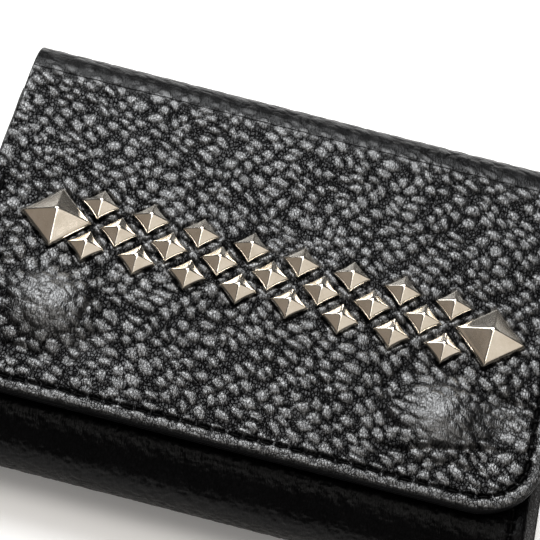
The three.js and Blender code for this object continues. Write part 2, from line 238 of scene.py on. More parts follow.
def fringe(depth, width, power=2):
    """1 on an edge, falling to 0 at this width inside it."""
    return np.clip(1 - depth / width, 0, 1) ** power


# ---- the hide's relief ---------------------------------------------
def pebble_grain(u, v):
    """Shrink grain: 1 on the pebbles' crowns, 0 in the valleys between them."""
    wu = u + 1.3 * WARP_A.smooth(u / 9.0, v / 9.0) + 0.22 * WARP_A.smooth(u / 1.8, v / 1.8)
    wv = v + 1.3 * WARP_B.smooth(u / 9.0, v / 9.0) + 0.22 * WARP_B.smooth(u / 1.8, v / 1.8)
    along = math.cos(GRAIN_TURN) * wu + math.sin(GRAIN_TURN) * wv
    across = -math.sin(GRAIN_TURN) * wu + math.cos(GRAIN_TURN) * wv
    p, q = along / PEBBLE_LONG, across / PEBBLE_WIDE
    near, far, value = PEBBLES.cells(p, q, 0.6)
    radius = 0.44 + 0.13 * value
    dome = np.clip(1 - (near / radius) ** 2.8, 0, 1) * (0.75 + 0.25 * value)
    dome = dome * ramp(far - near, -0.12, 0.3)
    near, far, value = WRINKLES.cells(p * 2.3, q * 2.3)
    small = np.clip(1 - (near / 0.72) ** 2, 0, 1) * (0.5 + 0.5 * value)
    crease = hill(SWELL.smooth(along / 8.0, across / 2.6), 0.1)
    return np.clip(dome + 0.22 * small * (1 - dome) - 0.2 * crease, 0, 1)


def fine_wrinkles(u, v):
    """The stretched leather of folds and front panel: shallow lines instead of pebbles."""
    wu = u + 0.8 * WARP_A.smooth(u / 4.0, v / 4.0)
    wv = v + 0.8 * WARP_B.smooth(u / 4.0, v / 4.0)
    near, far, _ = WRINKLES.cells(wu / 2.1 + 7, wv / 1.8)
    near2, far2, _ = FINE.cells(wu / 0.95, wv / 0.85 + 5)
    return 0.62 * ramp(far - near, 0, 0.2) + 0.38 * ramp(far2 - near2, 0, 0.3)


def snap_share(u, v):
    """1 over the snaps, where the leather is stretched smooth, and 0 away from them. Hollows count less."""
    share = np.zeros(u.shape)
    places = [(snap[:2], SMOOTH_R, 1.0) for snap in SNAPS] + HOLLOWS
    for centre, radius, weight in places:
        share += weight * hill(np.hypot(u - centre[0], v - centre[1]), radius, 4) * (v < V_FOLD)
    return np.minimum(share, 1)


def pebble_share(u, v):
    """How strongly the pebbles stand out along the hide."""
    share = 1 - 0.72 * ramp(v, V_FOLD - 5, V_FOLD + 3)
    share = share + 0.45 * ramp(v, V_BACK - 4, V_BACK + 8)
    share = share - 0.5 * ramp(v, V_BOTTOM - 8, V_BOTTOM + 2)
    return np.clip(share - 0.55 * snap_share(u, v), 0.1, 1)


def grain(u, v):
    """The grain's height, at most 0, and marks for the leather's finish: how much of each point is a
    pebble's top, raised over the snaps as a painted highlight on the bulges, and how much it is smoothed and
    its specular level darkened."""
    share = pebble_share(u, v)
    depth = GRAIN_DEPTH * (0.85 + 0.3 * SWELL.smooth(u / 14 + 9, v / 14))
    crown_and_painted_light = pebble_grain(u, v)
    pebbles = share * depth * (1 - crown_and_painted_light)
    snap = snap_share(u, v)
    fold = ramp(v, V_FOLD - 4, V_FOLD + 3) * (1 - ramp(v, V_BACK - 2, V_BACK + 6))
    lines = (1 - share) * (0.24 - 0.19 * fold) * (1 - fine_wrinkles(u, v))
    # Over the snaps the top mark is raised: smoother leather, and a painted highlight on the bulges. On the
    # top fold it is flattened.
    crown_and_painted_light = np.maximum(crown_and_painted_light * (1 - 0.5 * fold), np.maximum(0.6 * snap, 0.22 * fold))
    marks = {"crown_and_painted_light": crown_and_painted_light, "smoothed_and_darkened": np.maximum(0.4 * snap, fold)}
    return -np.maximum(pebbles + lines, 0), marks


# ---- the flap's outline --------------------------------------------
def outline_depth(u, v):
    """Distance inside the flap's outline, and the length along the seam from its middle, negative on
    the left."""
    ax = np.abs(u) - CORNER_X
    ay = CORNER_Y - v
    corner = (ax > 0) & (ay > 0)
    side = ax > ay
    straight = FLAP_CORNER - np.where(side, ax, ay)
    depth = np.where(corner, FLAP_CORNER - np.hypot(ax, ay), straight)
    round_corner = CORNER_X + SEAM_R * np.arctan2(np.maximum(ax, HAIR), np.maximum(ay, HAIR))
    straight = np.where(side, CORNER_X + SEAM_QUARTER - ay, np.abs(u))
    return depth, np.where(corner, round_corner, straight) * np.sign(u)


def stitch_trough(across, along, strength=0.6):
    """A row of short pressed slots, with the leather standing up between them."""
    phase = np.abs((along / STITCH_PITCH) % 1.0 - 0.5) * 2
    slot = 1 - ramp(phase, 0.55, 0.85)
    row = hill(across, 0.6) * 0.4 * strength
    return row + slot * hill(across, 0.36, 4) * strength


def crease_relief(u, v):
    """The creases, each with a soft ridge beside it."""
    total = np.zeros(u.shape)
    wu = u + 1.2 * WARP_A.smooth(u / 9, v / 9 + 4)
    wv = v + 1.2 * WARP_B.smooth(u / 9 + 2, v / 9)
    for start, end, depth, width in CREASES:
        a, b = np.array(start), np.array(end)
        length = np.linalg.norm(b - a)
        along = (b - a) / length
        t = (wu - a[0]) * along[0] + (wv - a[1]) * along[1]
        across = (wu - a[0]) * -along[1] + (wv - a[1]) * along[0]
        ends = ramp(t, -0.1 * length, 0.25 * length) * (1 - ramp(t, 0.75 * length, 1.1 * length))
        total -= depth * ends * hill(across, width)
        total += 0.35 * depth * ends * hill(across - 2 * width, 1.5 * width)
    return total


def flap_body(u, v):
    """The flap's smooth form: slack leather, bulges over the snap caps, hollows and creases."""
    height = 0.28 * SWELL.smooth(u / 26, v / 22) + 0.16 * SWELL.smooth(u / 11 + 5, v / 11)
    height = height * ramp(V_FOLD - v, 2, 14)
    for snap in SNAPS:
        r = np.hypot((u - snap[0]) * 0.97, v - snap[1])
        r = r * (1 + 0.06 * WARP_B.smooth(u / 8, v / 8))
        height += BULGE * 0.5 * (1 + np.cos(np.pi * np.clip(r / BULGE_R, 0, 1)))
        height -= 0.22 * hill(r - BULGE_R, 2.6)
    for centre, radius, depth in HOLLOWS:
        height -= depth * hill(np.hypot(u - centre[0], v - centre[1]), radius)
    return height + crease_relief(u, v)


def stud_form(name):
    return LARGE_FORM if name in LARGE else SMALL_FORM


def stud_seat(name):
    """A stud's centre, its turn and half the length of its sides."""
    x, y, _ = centre_mm(name)
    dx, dy, turn = SET_BY_HAND.get(name, (0.0, 0.0, SMALL_TURN))
    low, high = box_mm(name)
    half = (high[0] - low[0]) / 2 * math.sqrt(0.5) * stud_form(name)["side"]
    return x + dx, y + dy, STUD_TURN + math.radians(turn), half


def stud_dents(u, v):
    """The leather is pressed in under and round each stud."""
    total = np.zeros(u.shape)
    for name in LARGE + SMALL:
        x, y, turn, half = stud_seat(name)
        c, s = math.cos(turn), math.sin(turn)
        close = (np.abs(u - x) < 2 * half + 2) & (np.abs(v - y) < 2 * half + 2)
        a = np.abs(c * (u[close] - x) + s * (v[close] - y))
        b = np.abs(-s * (u[close] - x) + c * (v[close] - y))
        rim = np.maximum(a, b) - half
        press = 0.42 * (1 - ramp(rim, -0.3, 0.75)) - 0.07 * hill(rim - 1.1, 0.5)
        total[close] = np.maximum(total[close], press)
    return -total


def edge_roll(depth, v):
    """The hide's edge is rubbed down, less and less towards the fold."""
    free = 0.4 + 0.6 * ramp(V_FOLD - v, 0, 6)
    return EDGE_ROLL * fringe(depth, 0.6, 2.2) * free


def cover_half(v):
    """Half the cover's width: it narrows a little below the top fold."""
    return COVER_HALF + (FLAP_HALF - COVER_HALF) * (1 - ramp(v, V_BACK, V_BACK + 12))


def hide_relief(u, v):
    """Height over the hide's nominal outer face everywhere on it, and the marks for its finish, which also
    carry painted highlights and painted shade.
    """
    height, marks = grain(u, v)
    crown_and_painted_light = marks["crown_and_painted_light"]
    flap = v < V_FOLD + 0.01
    if flap.any():
        fu, fv = u[flap], v[flap]
        depth, along = outline_depth(fu, fv)
        sewn = ramp(STITCH_HALF - np.abs(along), -1, 2) * (depth < 2 * STITCH_INSET)
        pressed = np.where(np.abs(along) < STITCH_HALF, sewn, 0)
        extra = flap_body(fu, fv) + stud_dents(fu, fv)
        extra -= pressed * stitch_trough(depth - STITCH_INSET, along)
        extra += sewn * 0.12 * hill(depth - 1.4, 0.8)
        extra -= edge_roll(depth, fv)
        calm = 1 - EDGE_CALM * (1 - ramp(depth, 0.1, 0.8)) * (1 - sewn)
        calm -= EDGE_CALM * sewn * (1 - ramp(depth, 1.2, 3.6))
        height[flap] = height[flap] * calm + extra
        # Painted light along the seam: the mark is raised on the lip outside the stitches as a painted
        # highlight, and cut in the stitch groove as painted shade.
        painted_groove_shade = sewn * hill(depth - STITCH_INSET, 0.55)
        lip = sewn * 0.42 * (1 - ramp(depth, 1.4, 2.6))
        crown_and_painted_light[flap] = np.maximum(crown_and_painted_light[flap], lip) * (1 - 0.9 * painted_groove_shade)
    body = v > V_BACK
    if body.any():
        bu, bv = u[body], v[body]
        depth = cover_half(bv) - np.abs(bu)
        sewn = (depth < 2 * STITCH_INSET) & (bv < V_MOUTH)
        trough = np.where(sewn, stitch_trough(depth - STITCH_INSET, bv), 0)
        roll = 0.45 * fringe(depth, 1.0, 2.2)
        slack = 0.3 * (1 + SWELL.smooth(bu / 15, bv / 8)) * ramp(bv, V_FRONT, V_FRONT + 5)
        height[body] -= trough + roll + slack
        drawn = ramp(bv, V_BOTTOM - 8, V_BOTTOM + 2)
        front = ramp(bv, V_FRONT - 12, V_FRONT + 3)
        # Over the bottom fold and the front panel the marks are set low, lowest on the front: smoother
        # leather, and painted shade under the flap.
        crown_and_painted_light[body] = crown_and_painted_light[body] * (1 - drawn) + (0.28 - 0.19 * front) * drawn
        marks["smoothed_and_darkened"][body] = 0.95 * drawn
    return height, marks


def hide_point(u, v, height):
    """The point of the hide at (u, v), raised by height along its outward normal."""
    phi = (v - V_FOLD) / FOLD_R
    psi = (v - V_BOTTOM) / FRONT_R
    fold_r, front_r = FOLD_R + height, FRONT_R + height
    part = [v <= V_FOLD, v <= V_BACK, v <= V_BOTTOM, v <= V_FRONT]
    y = np.select(
        part,
        [v, FOLD_Y + fold_r * np.sin(phi), FOLD_Y - (v - V_BACK), FRONT_Y - front_r * np.sin(psi)],
        FRONT_Y + (v - V_FRONT),
    )
    z = np.select(
        part,
        [THICK + height, FOLD_R + fold_r * np.cos(phi), -height, FRONT_R - front_r * np.cos(psi)],
        2 * FRONT_R + height,
    )
    return np.stack([u, y, z], -1)


# ---- mesh making ---------------------------------------------------
def add_object(name, data):
    """Puts a mesh, a lamp or a camera into the scene."""
    thing = bpy.data.objects.new(name, data)
    SCENE.collection.objects.link(thing)
    return thing


def make_object(name, points, faces, slots, uvs, materials, flat=(), marks=None):
    """A smooth mesh object from points in millimetres, with a place on the hide for each point.
    Marks are values for the first points, kept as attributes of the mesh."""
    mesh = bpy.data.meshes.new(name)
    mesh.from_pydata((np.asarray(points) * MM).tolist(), [], faces)
    for material in materials:
        mesh.materials.append(material)
    mesh.polygons.foreach_set("material_index", np.asarray(slots, np.int32))
    smooth = np.ones(len(mesh.polygons), bool)
    smooth[list(flat)] = False
    mesh.polygons.foreach_set("use_smooth", smooth)
    layer = mesh.uv_layers.new(name="Hide")
    corners = np.zeros(len(mesh.loops), np.int32)
    mesh.loops.foreach_get("vertex_index", corners)
    layer.data.foreach_set("uv", np.asarray(uvs, np.float32)[corners].ravel())
    for mark, known in (marks or {}).items():
        values = np.full(len(points), 0.5, np.float32)
        values[: known.size] = known.ravel()
        mesh.attributes.new(mark, "FLOAT", "POINT").data.foreach_set("value", values)
    mesh.update()
    return add_object(name, mesh)


def grid_faces(rows, columns, start=0):
    index = np.arange(rows * columns).reshape(rows, columns) + start
    corners = [index[:-1, :-1], index[:-1, 1:], index[1:, 1:], index[1:, :-1]]
    return np.stack(corners, -1).reshape(-1, 4)


def border(rows, columns):
    """Indices round a grid's edge, in order."""
    index = np.arange(rows * columns).reshape(rows, columns)
    return np.concatenate([index[0, :-1], index[:-1, -1], index[-1, :0:-1], index[:0:-1, 0]])


def slab(name, top, bottom, uv, materials, swell=0.0, rings=3, joined=(), coarse=1, marks=None):
    """A closed sheet between two grids of points: top face, rim and bottom face, with one material each.
    The rim stands out by swell, except on the joined sides, named first, last, left or right.
    The bottom keeps only every coarse-th row and column."""
    rows, columns = top.shape[:2]
    bottom = bottom[::coarse, ::coarse]
    edge = border(rows, columns)
    low_edge = border(*bottom.shape[:2])
    top_points, bottom_points = top.reshape(-1, 3), bottom.reshape(-1, 3)
    top_uv, bottom_uv = uv.reshape(-1, 2), uv[::coarse, ::coarse].reshape(-1, 2)
    loop = top_points[edge]
    low_loop = bottom_points[low_edge]
    turn = np.arange(len(edge)) / coarse
    before = np.floor(turn).astype(int)
    blend = (turn - before)[:, None]
    down = low_loop[before] * (1 - blend) + low_loop[(before + 1) % len(low_edge)] * blend - loop
    outward = np.cross(down, np.roll(loop, -1, 0) - np.roll(loop, 1, 0))
    outward /= np.maximum(np.linalg.norm(outward, axis=1, keepdims=True), 1e-9)
    if ((loop - top[rows // 2, columns // 2]) * outward).sum() < 0:
        outward = -outward
    r, c = edge // columns, edge % columns
    on_side = {"first": r == 0, "last": r == rows - 1, "left": c == 0, "right": c == columns - 1}
    fixed = np.zeros(len(edge), bool)
    for side in joined:
        fixed |= on_side[side]
    points, uvs, rim = [top_points, bottom_points], [top_uv, bottom_uv], [edge]
    start = len(top_points) + len(bottom_points)
    for ring in range(1, rings + 1):
        t = ring / (rings + 1)
        bulge = swell * math.sin(math.pi * t) * ~fixed[:, None]
        points.append(loop + t * down + outward * bulge)
        uvs.append(top_uv[edge] + 0.7 * t * np.linalg.norm(down, axis=1)[:, None])
        rim.append(start + (ring - 1) * len(edge) + np.arange(len(edge)))
    faces = grid_faces(rows, columns).tolist()
    slots = [0] * len(faces)
    faces += grid_faces(*bottom.shape[:2], len(top_points))[:, ::-1].tolist()
    slots += [2] * (len(faces) - len(slots))
    flat = []
    ends = np.roll(fixed, -1) & fixed
    for a, b in zip(rim[:-1], rim[1:]):
        flat += (len(faces) + np.flatnonzero(ends)).tolist()
        faces += np.stack([a, b, np.roll(b, -1), np.roll(a, -1)], -1).tolist()
    last = rim[-1].tolist() + [int(rim[-1][0])]
    low = (low_edge + len(top_points)).tolist()
    for k in range(len(low)):
        if ends[k * coarse]:
            flat.append(len(faces))
        upper = last[k * coarse:(k + 1) * coarse + 1]
        faces.append([low[k], low[(k + 1) % len(low)], *upper[::-1]])
    slots += [1] * (len(faces) - len(slots))
    points = np.concatenate(points)
    first = points[faces[0]]
    if np.cross(first[1] - first[0], first[3] - first[0]) @ (bottom_points[0] - top_points[0]) > 0:
        faces = [face[::-1] for face in faces]
    return make_object(name, points, faces, slots, np.concatenate(uvs), materials, flat, marks)


def spaced(low, high, step, multiple=1):
    """Evenly spaced values at most a step apart, in a whole multiple of intervals."""
    count = int(math.ceil((high - low) / step / multiple)) * multiple
    return np.linspace(low, high, max(multiple, count) + 1)


def bead(centre, along, up, length, radius, sink):
    """One stitch: a short tube that dives into the leather at both ends."""
    across = np.cross(along, up)
    turn = 2 * np.pi * np.arange(BEAD_SIDES) / BEAD_SIDES
    circle = np.cos(turn)[:, None] * across + np.sin(turn)[:, None] * up
    points = []
    for i in range(BEAD_RINGS):
        t = -1 + 2 * i / (BEAD_RINGS - 1)
        middle = centre + along * (t * length / 2) - up * (sink * t**4)
        points.append(middle + radius * math.sqrt(max(0.04, 1 - t**6 * 0.9)) * circle)
    return np.concatenate(points)


def stitch_run(name, spots, length=2.35, radius=THREAD_R, sink=0.55):
    """All stitches of one seam as one piece. A spot is a centre, a direction and an upward normal."""
    ring = np.arange(BEAD_SIDES)
    uv = np.stack(np.meshgrid(ring * 0.24, np.linspace(0, length, BEAD_RINGS)), -1).reshape(-1, 2)
    points, faces = [], []
    for centre, along, up in spots:
        start = len(points) * len(uv)
        points.append(bead(np.array(centre), np.array(along), np.array(up), length, radius, sink))
        for i in range(BEAD_RINGS - 1):
            a, b = start + i * BEAD_SIDES + ring, start + (i + 1) * BEAD_SIDES + ring
            faces += np.stack([a, np.roll(a, -1), np.roll(b, -1), b], -1).tolist()
        faces.append((start + ring[::-1]).tolist())
        faces.append((start + (BEAD_RINGS - 1) * BEAD_SIDES + ring).tolist())
    uvs = np.tile(uv, (len(spots), 1))
    return make_object(name, np.concatenate(points), faces, [0] * len(faces), uvs, [THREAD])


# ---- materials -----------------------------------------------------
class Nodes:
    """Short names for building a node material."""

    def __init__(self, name, **sockets):
        self.material = bpy.data.materials.new(name)
        self.material.use_nodes = True
        self.tree = self.material.node_tree
        self.shader = self.tree.nodes["Principled BSDF"]
        for socket, value in sockets.items():
            self.shader.inputs[socket.replace("_", " ")].default_value = value

    def add(self, kind, inputs=None, **settings):
        node = self.tree.nodes.new("ShaderNode" + kind)
        for key, value in settings.items():
            setattr(node, key, value)
        for socket, value in (inputs or {}).items():
            if isinstance(value, bpy.types.NodeSocket):
                self.tree.links.new(value, node.inputs[socket])
            else:
                node.inputs[socket].default_value = value
        return node

    def link(self, output, socket):
        self.tree.links.new(output, self.shader.inputs[socket])

    def maths(self, operation, a, b=0.0, c=0.0):
        return self.add("Math", {0: a, 1: b, 2: c}, operation=operation).outputs[0]

    def hide_place(self, scale=(1, 1, 1), turn=0.0):
        """Millimetres on the hide, scaled."""
        uv = self.add("UVMap", uv_map="Hide").outputs[0]
        return self.add("Mapping", {"Vector": uv, "Scale": scale, "Rotation": (0, 0, turn)}).outputs[0]

    def object_place(self, scale=(1, 1, 1)):
        """Millimetres in the piece's own space, scaled."""
        place = self.add("TexCoord").outputs["Object"]
        size = tuple(s / MM for s in scale)
        return self.add("Mapping", {"Vector": place, "Scale": size}).outputs[0]

    def noise(self, place, scale, detail=3.0, roughness=0.55):
        return self.add(
            "TexNoise", {"Vector": place, "Scale": scale, "Detail": detail, "Roughness": roughness}
        ).outputs[0]

    def edges(self, place, scale):
        """Distance to the borders of random cells."""
        cells = self.add("TexVoronoi", {"Vector": place, "Scale": scale}, feature="DISTANCE_TO_EDGE")
        return cells.outputs["Distance"]

    def ramp(self, value, stops):
        node = self.add("ValToRGB", {0: value})
        ramp_stops = node.color_ramp.elements
        while len(ramp_stops) < len(stops):
            ramp_stops.new(0.5)
        for element, (position, colour) in zip(ramp_stops, stops):
            element.position = position
            element.color = (*colour, 1)
        return node.outputs[0]

    def span(self, value, low, high, to_low, to_high):
        return self.add("MapRange", {0: value, 1: low, 2: high, 3: to_low, 4: to_high}).outputs[0]

    def weigh(self, a, share_a, b, share_b):
        """A weighted sum of two values."""
        return self.maths("MULTIPLY_ADD", a, share_a, self.maths("MULTIPLY", b, share_b))

    def bump(self, height, distance):
        """A normal for relief of this height in millimetres."""
        inputs = {"Height": height, "Distance": distance * MM, "Strength": 1.0}
        return self.add("Bump", inputs).outputs[0]


def hide_leather(name, dark, light, rough, bump):
    """Grained leather: a net of tiny cells between the pebbles and fine lines across them. Its specular
    level and colour carry painted shade in the grain's hollows, and painted highlights and shade from the
    marks.
    """
    n = Nodes(name, IOR=1.5)
    crown_and_painted_light = n.add("Attribute", attribute_name="crown_and_painted_light").outputs["Fac"]
    smoothed_and_darkened = n.add("Attribute", attribute_name="smoothed_and_darkened").outputs["Fac"]
    valley = n.span(crown_and_painted_light, 0.1, 0.6, 1.0, 0.0)
    flat = n.hide_place()
    shift = n.add("TexNoise", {"Vector": flat, "Scale": 0.9}).outputs[1]
    bent = n.add("MixRGB", {0: 0.25, 1: flat, 2: shift}, blend_type="ADD").outputs[0]
    slanted = n.add("Mapping", {"Vector": bent, "Scale": (1.25, 0.8, 1), "Rotation": (0, 0, 0.6)}).outputs[0]
    net = n.span(n.edges(slanted, 1.3), 0.0, 0.17, 0.0, 1.0)
    cross_lines = n.noise(n.hide_place((3.2, 0.8, 1.0), math.radians(52)), 1.0, 1.5)
    pores = n.noise(flat, 7.0, 2.0)
    patch = n.noise(flat, 0.08, 3.0)
    gap = n.maths("MULTIPLY", n.maths("SUBTRACT", 1.0, net), n.span(valley, 0, 1, 0.5, 1.0))
    gap = n.maths("MULTIPLY", gap, n.span(smoothed_and_darkened, 0, 1, 1.0, 0.12))
    skin = n.weigh(n.span(cross_lines, 0.38, 0.6, 0, 1), 0.42, pores, 0.07)
    height = n.maths("SUBTRACT", skin, gap)
    # Base colour: random patches, and a little darker along the net's lines as painted shade in the grain's
    # grooves.
    n.link(n.ramp(n.weigh(patch, 0.4, net, 0.4), [(0.2, dark), (0.7, light)]), "Base Color")
    worn = n.weigh(pores, 0.16, patch, 0.22)
    n.link(n.span(worn, 0.1, 0.28, rough - 0.06, rough + 0.08), "Roughness")
    # Specular level: cut in the net's gaps and the pebbles' valleys as painted shade inside the grain,
    # raised or cut where the marks carry painted highlights and shade, cut on the top fold, and cut as
    # painted shade under the flap on the bottom fold and front panel.
    sheen_with_painted_valley_shade = n.maths("MULTIPLY", n.span(gap, 0, 0.8, 1.0, 0.05), n.span(valley, 0, 1, 0.98, 0.14))
    n.link(n.maths("MULTIPLY", sheen_with_painted_valley_shade, n.span(smoothed_and_darkened, 0.35, 1, 1.0, 0.2)), "Specular IOR Level")
    n.link(n.bump(height, bump), "Normal")
    return n.material


def plain_leather(name, dark, light, rough, bump, scale=1.6):
    """Thin smooth pocket and lining leather with a fine pressed grain."""
    n = Nodes(name, IOR=1.48)
    place = n.hide_place()
    cells = n.edges(place, scale)
    pores = n.noise(place, 4.0, 4.0, 0.6)
    patch = n.noise(place, 0.12, 2.0)
    lines = n.span(cells, 0, 0.15, 0, 1)
    tone = n.weigh(patch, 0.7, pores, 0.3)
    n.link(n.ramp(tone, [(0.25, dark), (0.75, light)]), "Base Color")
    n.link(n.span(pores, 0.3, 0.7, rough - 0.06, rough + 0.08), "Roughness")
    n.link(n.bump(n.maths("MULTIPLY_ADD", pores, 0.4, lines), bump), "Normal")
    return n.material


def painted_edge():
    """Burnished and painted edge: satin, with faint streaks along it."""
    n = Nodes("painted_edge", IOR=1.46)
    n.shader.inputs["Specular IOR Level"].default_value = 0.04
    place = n.object_place((0.05, 0.05, 1.0))
    streaks = n.noise(place, 1.3, 4.0, 0.6)
    patches = n.noise(n.object_place(), 0.35, 3.0)
    tone = n.weigh(streaks, 0.6, patches, 0.4)
    n.link(n.ramp(tone, [(0.3, (0.002, 0.002, 0.0022)), (0.7, (0.007, 0.007, 0.0075))]), "Base Color")
    n.link(n.span(patches, 0.3, 0.7, 0.34, 0.5), "Roughness")
    n.link(n.bump(tone, 0.06), "Normal")
    return n.material


def thread_material():
    """Waxed twisted thread."""
    n = Nodes("waxed_thread", Roughness=0.7, IOR=1.4)
    n.shader.inputs["Specular IOR Level"].default_value = 0.08
    place = n.hide_place((1.0, 1.0, 1.0), math.radians(35))
    inputs = {"Vector": place, "Scale": 1.1, "Distortion": 0.6, "Detail": 1.0}
    twist = n.add("TexWave", inputs).outputs[1]
    n.link(n.ramp(twist, [(0.2, (0.001, 0.001, 0.001)), (0.8, (0.006, 0.006, 0.006))]), "Base Color")
    n.link(n.bump(twist, 0.08), "Normal")
    return n.material


def warm_nickel(name, dark, light, rough):
    """Plated metal with brushed hairlines, faint scratches and tarnish."""
    n = Nodes(name, Metallic=1.0)
    hair = n.noise(n.object_place((6.0, 0.25, 1.0)), 2.2, 4.0, 0.7)
    tarnish = n.noise(n.object_place(), 0.22, 4.0, 0.6)
    specks = n.noise(n.object_place(), 3.5, 3.0, 0.6)
    tone = n.weigh(tarnish, 0.75, specks, 0.25)
    n.link(n.ramp(tone, [(0.3, dark), (0.62, light)]), "Base Color")
    worn = n.weigh(hair, 0.5, specks, 0.5)
    n.link(n.span(worn, 0.3, 0.7, rough - 0.06, rough + 0.1), "Roughness")
    n.link(n.bump(worn, 0.012), "Normal")
    return n.material


def tape_weave():
    """Woven zip tape: a herringbone of fine ribs."""
    n = Nodes("zip_tape_weave", Roughness=0.85)
    n.shader.inputs["Sheen Weight"].default_value = 0.3
    place = n.object_place((1.0, 0.4, 0.4))
    ribs = n.add("TexWave", {"Vector": place, "Scale": 0.9}, bands_direction="DIAGONAL")
    cross = n.add("TexWave", {"Vector": place, "Scale": 1.3}, bands_direction="X")
    weave = n.maths("MULTIPLY", ribs.outputs[1], cross.outputs[1])
    fluff = n.noise(n.object_place(), 4.0, 4.0)
    tone = n.weigh(weave, 0.7, fluff, 0.3)
    n.link(n.ramp(tone, [(0.2, (0.008, 0.008, 0.009)), (0.8, (0.035, 0.034, 0.034))]), "Base Color")
    n.link(n.bump(tone, 0.12), "Normal")
    return n.material


HIDE = hide_leather("black_hide", (0.0006, 0.0006, 0.0007), (0.0018, 0.0018, 0.0021), 0.31, 0.075)
INNER = plain_leather("pocket_leather", (0.008, 0.008, 0.009), (0.03, 0.029, 0.028), 0.5, 0.07)
LINING = plain_leather("lining_leather", (0.012, 0.0115, 0.011), (0.04, 0.037, 0.035), 0.62, 0.08, 2.4)
EDGE = painted_edge()
THREAD = thread_material()
NICKEL = warm_nickel("warm_nickel", (0.74, 0.67, 0.57), (0.90, 0.84, 0.75), 0.17)
STEEL = warm_nickel("snap_nickel", (0.42, 0.40, 0.37), (0.66, 0.63, 0.58), 0.28)
TAPE = tape_weave()


# ---- flap ----------------------------------------------------------
def flap_grid(step, inset=0.0):
    """(x, y) over the flap, with the grid's lower corners pressed round the flap's round corners."""
    half = FLAP_HALF - inset
    end = FLAP_END + inset
    radius = FLAP_CORNER - inset
    x, y = np.meshgrid(spaced(-half, half, step, 4), spaced(end, FOLD_Y, step, 4))
    a = np.clip((np.abs(x) - (half - radius)) / radius, 0, 1)
    b = np.clip((end + radius - y) / radius, 0, 1)
    turned = (a > 0) & (b > 0)
    round_a = a * np.sqrt(1 - b**2 / 2)
    round_b = b * np.sqrt(1 - a**2 / 2)
    x = np.where(turned, np.sign(x) * (half - radius + radius * round_a), x)
    y = np.where(turned, end + radius - radius * round_b, y)
    return x, y


def flap_skin():
    x, y = flap_grid(SKIN_STEP)
    height, marks = hide_relief(x, y)
    top = hide_point(x, y, height)
    lift = np.clip(flap_body(x, y), 0, None) * 0.85
    bottom = np.stack([x, y, FLAP_UNDER + lift], -1)
    uv = np.stack([x, y], -1)
    piece = slab("flap_skin", top, bottom, uv, [HIDE, EDGE, LINING], swell=0.16, rings=4, joined=("last",),
                 coarse=4, marks=marks)
    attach(piece, "flap")
    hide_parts("flap_leather")


def lining_sheet():
    """The flap's inner face, with a round recess for each snap socket."""
    x, y = flap_grid(0.45, 0.12)
    low, high = LINING_LOW[2], LINING_HIGH[2]
    recess = np.zeros(x.shape)
    socket_low, socket_high = box_mm("snap_socket_left")
    socket_r = (socket_high[0] - socket_low[0]) / 2
    for snap in SNAPS:
        r = np.hypot(x - snap[0], y - snap[1])
        recess = np.maximum(recess, 1 - ramp(r, socket_r, socket_r + 0.6))
    depth, along = outline_depth(x, y)
    sewn = (depth < 2 * STITCH_INSET) & (np.abs(along) < STITCH_HALF)
    trough = np.where(sewn, stitch_trough(depth - STITCH_INSET, along, 0.22), 0)
    roll = 0.35 * fringe(depth, 0.9)
    inner = low + (high - low - 0.05) * recess + (trough + roll) * (1 - recess)
    inner = inner + 0.05 * (1 - fine_wrinkles(x, y))
    top = np.stack([x, y, inner], -1)
    bottom = np.stack([x, y, np.full(x.shape, high)], -1)
    piece = slab("flap_lining_sheet", top, bottom, np.stack([x, y], -1), [LINING, EDGE, LINING],
                 swell=0.12, joined=("last",), coarse=4)
    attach(piece, "flap")
    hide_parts("flap_lining")


def flap_stitch_spots(inner):
    """Centres of the flap's stitches, on the outer face or on the lining."""
    spots = []
    count = int(STITCH_HALF / STITCH_PITCH)
    for k in range(-count, count):
        s = (k + 0.5) * STITCH_PITCH
        side, s = math.copysign(1, s), abs(s)
        if s < CORNER_X:
            place, along = (s, FLAP_END + STITCH_INSET), (1, 0)
        elif s < CORNER_X + SEAM_QUARTER:
            turn = (s - CORNER_X) / SEAM_R
            place = (CORNER_X + SEAM_R * math.sin(turn), CORNER_Y - SEAM_R * math.cos(turn))
            along = (math.cos(turn), math.sin(turn))
        else:
            place, along = (FLAP_HALF - STITCH_INSET, CORNER_Y + s - CORNER_X - SEAM_QUARTER), (0, 1)
        x, y = side * place[0], place[1]
        if inner:
            z, up = LINING_LOW[2] + 0.2, (0, 0, -1)
        else:
            z, up = THICK + flap_body(np.array([x]), np.array([y]))[0] - 0.76, (0, 0, 1)
        spots.append(((x, y, z), (side * along[0], along[1], 0), up))
    return spots


def flap_stitches():
    for name, inner in (("flap_stitching", False), ("flap_stitching_inside", True)):
        piece = stitch_run(name, flap_stitch_spots(inner))
        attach(piece, "flap")


# ---- studs ---------------------------------------------------------
def pyramid(half, height, form):
    """A pressed pyramid with rounded ridges: its sides are drawn in between the corners."""
    steps, lip, ridge = form["steps"], form["lip"], form["ridge"]
    line = np.linspace(-1, 1, 2 * steps + 1)
    a, b = np.meshgrid(line, line)
    big = np.maximum(np.abs(a), np.abs(b))
    corner = np.divide(np.minimum(np.abs(a), np.abs(b)), big, out=np.zeros_like(big), where=big > 0)
    round_a, round_b = np.sqrt(a**2 + ridge**2), np.sqrt(b**2 + ridge**2)
    level = 1 - (round_a + round_b + np.sqrt((round_a - round_b) ** 2 + ridge**2)) / 2
    level = (level - level[0, steps]) / (level.max() - level[0, steps])
    level = np.clip(level, -0.02, 1)
    level = level - form["flare"] * 4 * level * (1 - level) * (1 - corner**4)
    draw = 1 - form["waist"] * big**2 * (1 - corner**2) - 0.015 * big**8 * corner**10
    turned_in = 0.7 * lip * np.clip((big - 0.88) / 0.12, 0, 1) ** 2
    return np.stack([a * half * draw, b * half * draw, height * level + lip - turned_in], -1)


